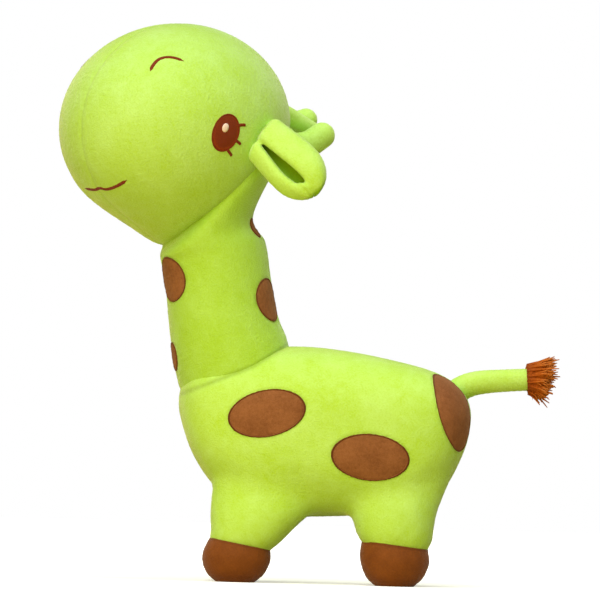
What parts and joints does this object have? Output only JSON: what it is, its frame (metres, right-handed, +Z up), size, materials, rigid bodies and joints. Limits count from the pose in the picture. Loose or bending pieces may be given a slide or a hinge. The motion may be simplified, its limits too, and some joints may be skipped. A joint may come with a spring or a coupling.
{
  "type": "plush giraffe",
  "caption": "Standing plush giraffe: stuffed body, legs and neck, a big turned head, folded ears, stubby horns, forelock, and tail with a tassel, all in short pile.",
  "frame": {"origin": "middle of the giraffe's bounding box on the floor plane, under the soles", "axes": "+Z up from the soles to the top of the head; -X the way the body faces, +X towards the tail; -Y the giraffe's left side, which the head is turned to"},
  "size_m": [0.362, 0.2008, 0.3958],
  "materials": {
    "green_plush": "short soft pile",
    "pale_green_plush": "short soft pile, lining of the ears",
    "brown_plush": "short soft pile",
    "brown_fur": "longer tufted pile",
    "brown_thread": "satin stitch embroidery",
    "pale_thread": "satin stitch embroidery",
    "wadding": "loose polyester filling"
  },
  "bodies": {
    "torso": {"body_filling": "wadding", "flank_cover_left": "green_plush", "flank_cover_right": "green_plush", "flank_front_spot_left": "brown_plush", "flank_front_spot_right": "brown_plush", "flank_rear_spot_left": "brown_plush", "flank_rear_spot_right": "brown_plush", "foot_cover_front_left": "brown_plush", "foot_cover_front_right": "brown_plush", "foot_cover_rear_left": "brown_plush", "foot_cover_rear_right": "brown_plush", "leg_cover_front_left": "green_plush", "leg_cover_front_right": "green_plush", "leg_cover_rear_left": "green_plush", "leg_cover_rear_right": "green_plush", "leg_filling_front_left": "wadding", "leg_filling_front_right": "wadding", "leg_filling_rear_left": "wadding", "leg_filling_rear_right": "wadding", "neck_back_lower_spot": "brown_plush", "neck_back_upper_spot": "brown_plush", "neck_cover_left": "green_plush", "neck_cover_right": "green_plush", "neck_filling": "wadding", "neck_front_lower_spot": "brown_plush", "neck_front_upper_spot": "brown_plush", "rump_spot_left": "brown_plush", "rump_spot_right": "brown_plush"},
    "head": {"head_cover_left": "green_plush", "head_cover_right": "green_plush", "head_filling": "wadding", "eye_left": "brown_thread", "eye_right": "brown_thread", "eye_glint_left": "pale_thread", "eye_glint_right": "pale_thread", "nostril_left": "brown_thread", "nostril_right": "brown_thread", "mouth": "brown_thread"},
    "ear_left": {"ear_outer_left": "green_plush", "ear_lining_left": "pale_green_plush"},
    "ear_right": {"ear_outer_right": "green_plush", "ear_lining_right": "pale_green_plush"},
    "horn_left": {"horn_cover_left": "green_plush", "horn_filling_left": "wadding"},
    "horn_right": {"horn_cover_right": "green_plush", "horn_filling_right": "wadding"},
    "forelock": {"forelock": "green_plush"},
    "tail": {"tail_cover": "green_plush", "tail_filling": "wadding", "tail_tassel": "brown_fur"}
  },
  "joints": [
    {"name": "head_turn", "type": "hinge", "parent": "torso", "child": "head", "pos_m": [-0.06037, -0.01678, 0.27557], "axis": [-0.6549, -0.0872, 0.7507], "range_deg": [-12, 12], "stiffness_Nm_per_rad": 2},
    {"name": "ear_left_swing", "type": "hinge", "parent": "head", "child": "ear_left", "pos_m": [-0.02724, -0.05326, 0.31644], "axis": [0.4924, 0.6283, 0.6024], "range_deg": [-10, 15], "stiffness_Nm_per_rad": 0.1},
    {"name": "ear_right_swing", "type": "hinge", "parent": "head", "child": "ear_right", "pos_m": [-0.12498, 0.0553, 0.31644], "axis": [-0.6763, -0.424, -0.6024], "range_deg": [-10, 15], "stiffness_Nm_per_rad": 0.1},
    {"name": "horn_left_bend", "type": "hinge", "parent": "head", "child": "horn_left", "pos_m": [-0.02451, 0.0404, 0.31447], "axis": [0.6077, -0.794, 0.0148], "range_deg": [-12, 12], "stiffness_Nm_per_rad": 0.05},
    {"name": "horn_right_bend", "type": "hinge", "parent": "head", "child": "horn_right", "pos_m": [-0.0449, 0.05665, 0.31244], "axis": [0.8621, -0.5019, -0.0702], "range_deg": [-12, 12], "stiffness_Nm_per_rad": 0.05},
    {"name": "forelock_bend", "type": "hinge", "parent": "head", "child": "forelock", "pos_m": [-0.02967, 0.04284, 0.34424], "axis": [0.6691, -0.7431, 0], "range_deg": [-10, 10], "stiffness_Nm_per_rad": 0.03},
    {"name": "tail_lift", "type": "hinge", "parent": "torso", "child": "tail", "pos_m": [0.11296, -0.01678, 0.14269], "axis": [0, -1, 0], "range_deg": [-15, 20], "stiffness_Nm_per_rad": 0.1}
  ]
}
